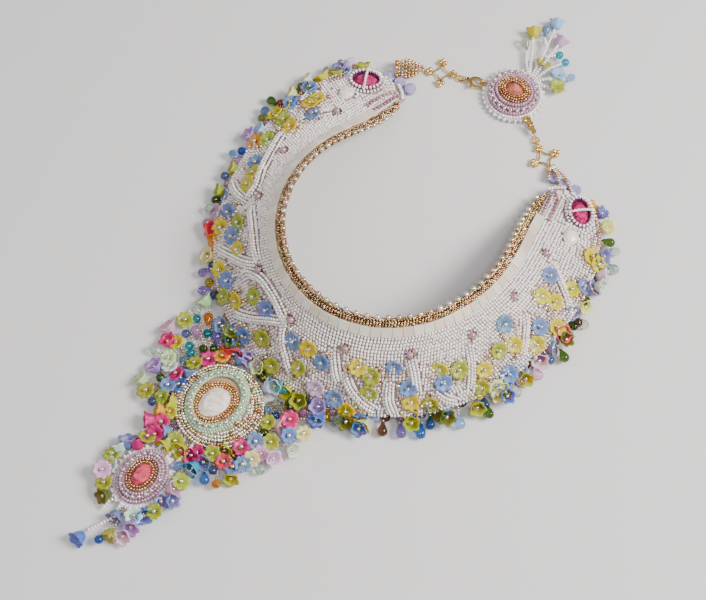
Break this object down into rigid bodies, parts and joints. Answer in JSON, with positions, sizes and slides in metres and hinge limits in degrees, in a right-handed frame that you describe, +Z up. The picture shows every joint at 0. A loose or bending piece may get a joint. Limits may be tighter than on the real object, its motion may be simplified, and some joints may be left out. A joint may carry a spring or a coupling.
{
  "type": "bib necklace",
  "caption": "Stiff bead-embroidered collar necklace with a raised neck edge, flower bead rim, round pendant with a smaller drop, filigree links and lobster clasps at a back medallion.",
  "frame": {"origin": "centre of the bounding box's base, on the surface that the necklace lies on", "axes": "+Y from the pendant and drop towards the clasps and back medallion, +Z up from the surface, +X to the right seen from the pendant"},
  "size_m": [0.209, 0.3702, 0.0445],
  "materials": {
    "white_beads": "pearly gloss",
    "ivory_tiles": "satin lustre",
    "white_cabochon": "mother-of-pearl gloss",
    "gold_beads": "gold plated, polished",
    "gold_metal": "gold plated, polished",
    "champagne_beads": "metallic lustre",
    "mauve_beads": "pearly gloss",
    "magenta_crystal": "faceted, polished",
    "salmon_stone": "polished",
    "red_stone": "faceted, polished",
    "lilac_discs": "frosted",
    "lucite_flowers": "frosted, translucent",
    "fringe_beads": "glossy and frosted, mixed colours"
  },
  "bodies": {
    "root": {"collar_base": "white_beads", "neck_tiles": "ivory_tiles", "neck_edging": "gold_beads", "flowers_left_back": "lucite_flowers", "flowers_left_side": "lucite_flowers", "flowers_left_front": "lucite_flowers", "flowers_front": "lucite_flowers", "flowers_right_front": "lucite_flowers", "flowers_right_side": "lucite_flowers", "flowers_right_back": "lucite_flowers", "fringe_left_back": "fringe_beads", "fringe_left_front": "fringe_beads", "fringe_front": "fringe_beads", "fringe_right_front": "fringe_beads", "fringe_right_back": "fringe_beads", "crystal_left": "magenta_crystal", "crystal_right": "magenta_crystal", "crystal_bezel_left": "white_beads", "crystal_bezel_right": "white_beads", "oval_cabochon_left": "white_cabochon", "oval_cabochon_right": "white_cabochon", "disc_left_1": "lilac_discs", "disc_left_2": "lilac_discs", "disc_left_3": "lilac_discs", "disc_right_1": "lilac_discs", "disc_right_2": "lilac_discs", "disc_right_3": "lilac_discs", "bead_cap_left": "gold_beads", "bead_cap_right": "gold_beads", "filigree_left": "gold_metal", "filigree_right": "gold_metal", "jump_ring_left": "gold_metal", "jump_ring_right": "gold_metal", "clasp_body_left": "gold_metal", "clasp_body_right": "gold_metal", "clasp_ring_left": "gold_beads", "clasp_ring_right": "gold_beads", "back_medallion": "mauve_beads", "back_cabochon": "salmon_stone", "back_tassel": "fringe_beads", "pendant_medallion": "champagne_beads", "pendant_cabochon": "white_cabochon", "pendant_flowers_left": "lucite_flowers", "pendant_flowers_right": "lucite_flowers", "drop_medallion": "mauve_beads", "drop_cabochon": "red_stone", "drop_flowers_left": "lucite_flowers", "drop_flowers_right": "lucite_flowers", "drop_link": "white_beads", "drop_tassel": "fringe_beads"},
    "lever_left": {"clasp_lever_left": "gold_metal"},
    "lever_right": {"clasp_lever_right": "gold_metal"}
  },
  "joints": [
    {"name": "lever_left", "type": "hinge", "parent": "root", "child": "lever_left", "pos_m": [-0.01982, 0.13139, 0.00275], "axis": [0, 0, 1], "range_deg": [0, 20], "stiffness_Nm_per_rad": 0.002, "springref_deg": -5.73},
    {"name": "lever_right", "type": "hinge", "parent": "root", "child": "lever_right", "pos_m": [0.01969, 0.1282, 0.00606], "axis": [-0.5446, -0.8387, 0], "range_deg": [0, 20], "stiffness_Nm_per_rad": 0.002, "springref_deg": -5.73}
  ]
}
